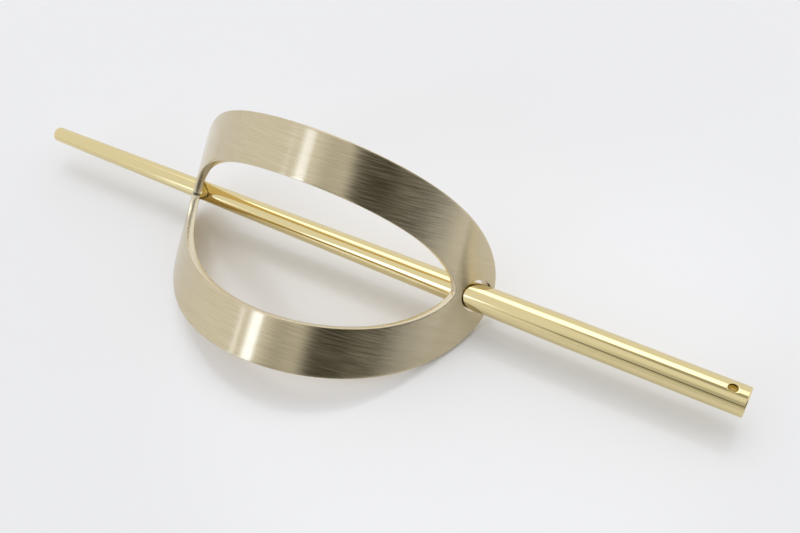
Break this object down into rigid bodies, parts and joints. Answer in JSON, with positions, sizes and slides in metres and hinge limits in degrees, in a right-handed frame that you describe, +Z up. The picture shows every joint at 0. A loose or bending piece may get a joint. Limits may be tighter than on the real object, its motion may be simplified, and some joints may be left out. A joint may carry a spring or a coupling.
{
  "type": "hairpin",
  "caption": "Hairpin with an arched oval band of brushed sheet brass, and a tapered polished brass stick that slides through the holes in the band's ends.",
  "frame": {"origin": "on the surface that the pin lies on, under the middle of the box round the whole pin", "axes": "+X along the stick towards its thick end, +Z up from the surface, and the band leans towards -Y"},
  "size_m": [0.1364, 0.0344, 0.0338],
  "materials": {
    "brushed_brass": "brushed along the band, satin",
    "polished_brass": "polished bright"
  },
  "bodies": {
    "band": {"band": "brushed_brass"},
    "stick": {"stick": "polished_brass"}
  },
  "joints": [
    {"name": "stick_slide", "type": "slide", "parent": "band", "child": "stick", "axis": [1, 0, 0], "range_m": [-0.035, 0.095]}
  ]
}
